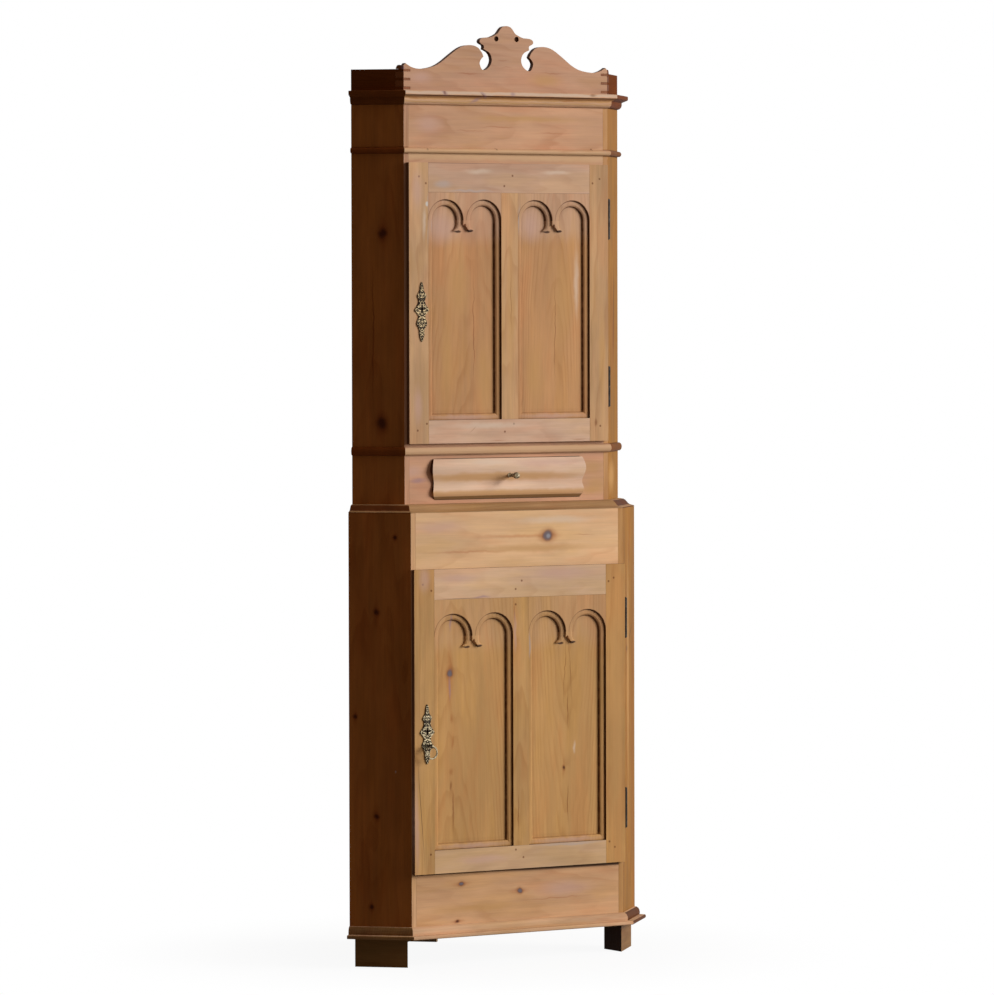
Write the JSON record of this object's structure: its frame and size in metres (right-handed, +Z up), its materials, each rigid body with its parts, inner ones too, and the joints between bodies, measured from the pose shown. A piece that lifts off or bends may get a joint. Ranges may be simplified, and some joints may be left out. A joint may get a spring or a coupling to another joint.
{
  "type": "corner cupboard",
  "caption": "Tall two-stage pine corner cupboard: arched panelled doors, a serpentine-fronted drawer between them, moulded cornice and base, pierced cresting with a low gallery.",
  "frame": {"origin": "middle of the bounding box on the floor that the feet stand on", "axes": "+Z up; -Y the way the doors and drawer face; +X to the right as seen from the front; the corner of the room is at +Y and the two backs stand at 45 degrees to X and Y"},
  "size_m": [0.7734, 0.5006, 2.0142],
  "materials": {
    "pine_face": "waxed, satin",
    "pine_panels": "waxed, satin",
    "pine_mouldings": "waxed, satin",
    "pine_inside": "bare, matt",
    "brass_fittings": "aged, dull",
    "iron_fittings": "dark, oiled"
  },
  "bodies": {
    "cupboard": {"lower_return_right": "pine_face", "lower_return_left": "pine_face", "lower_back_right": "pine_inside", "lower_back_left": "pine_inside", "lower_rail_bottom": "pine_face", "lower_rail_top": "pine_face", "lower_floor_board": "pine_inside", "lower_shelf": "pine_inside", "base_moulding": "pine_mouldings", "foot_right": "pine_face", "foot_left": "pine_face", "lower_top_board": "pine_mouldings", "lower_door_hinge_low_frame_half": "iron_fittings", "lower_door_hinge_high_frame_half": "iron_fittings", "upper_return_right": "pine_face", "upper_return_left": "pine_face", "upper_back_right": "pine_inside", "upper_back_left": "pine_inside", "drawer_board": "pine_inside", "upper_floor_board": "pine_inside", "upper_shelf": "pine_inside", "drawer_surround": "pine_face", "frieze_board": "pine_face", "cornice_top_board": "pine_mouldings", "cresting_board": "pine_face", "gallery_right": "pine_face", "gallery_left": "pine_face", "upper_door_hinge_low_frame_half": "iron_fittings", "upper_door_hinge_high_frame_half": "iron_fittings"},
    "drawer": {"drawer_front": "pine_face", "drawer_side_left": "pine_inside", "drawer_side_right": "pine_inside", "drawer_back": "pine_inside", "drawer_bottom": "pine_inside", "drawer_knob": "brass_fittings"},
    "upper_door": {"upper_door_stile_lock": "pine_face", "upper_door_stile_hinge": "pine_face", "upper_door_rail_bottom": "pine_face", "upper_door_rail_top": "pine_face", "upper_door_muntin": "pine_face", "upper_door_panel_left": "pine_panels", "upper_door_panel_right": "pine_panels", "upper_door_hinge_low_door_half": "iron_fittings", "upper_door_hinge_high_door_half": "iron_fittings", "upper_door_lock_plate": "brass_fittings", "upper_door_lock_case": "iron_fittings"},
    "lower_door": {"lower_door_stile_lock": "pine_face", "lower_door_stile_hinge": "pine_face", "lower_door_rail_bottom": "pine_face", "lower_door_rail_top": "pine_face", "lower_door_muntin": "pine_face", "lower_door_panel_left": "pine_panels", "lower_door_panel_right": "pine_panels", "lower_door_hinge_low_door_half": "iron_fittings", "lower_door_hinge_high_door_half": "iron_fittings", "lower_door_lock_plate": "brass_fittings", "lower_door_lock_case": "iron_fittings"},
    "ring": {"ring_pull": "brass_fittings"},
    "upper_bolt": {"upper_door_lock_bolt": "iron_fittings"},
    "lower_bolt": {"lower_door_lock_bolt": "iron_fittings"}
  },
  "joints": [
    {"name": "upper_door_swing", "type": "hinge", "parent": "cupboard", "child": "upper_door", "pos_m": [0.2606, -0.17891, 1.41785], "axis": [0, 0, 1], "range_deg": [0, 145]},
    {"name": "lower_door_swing", "type": "hinge", "parent": "cupboard", "child": "lower_door", "pos_m": [0.2756, -0.21982, 0.525], "axis": [0, 0, 1], "range_deg": [0, 145]},
    {"name": "drawer_slide", "type": "slide", "parent": "cupboard", "child": "drawer", "axis": [0, -1, 0], "range_m": [0, 0.15]},
    {"name": "ring_swing", "type": "hinge", "parent": "lower_door", "child": "ring", "pos_m": [-0.24, -0.24572, 0.4745], "axis": [-1, 0, 0], "range_deg": [-30, 100]},
    {"name": "upper_bolt_slide", "type": "slide", "parent": "upper_door", "child": "upper_bolt", "axis": [-1, 0, 0], "range_m": [0, 0.009]},
    {"name": "lower_bolt_slide", "type": "slide", "parent": "lower_door", "child": "lower_bolt", "axis": [-1, 0, 0], "range_m": [0, 0.009]}
  ]
}
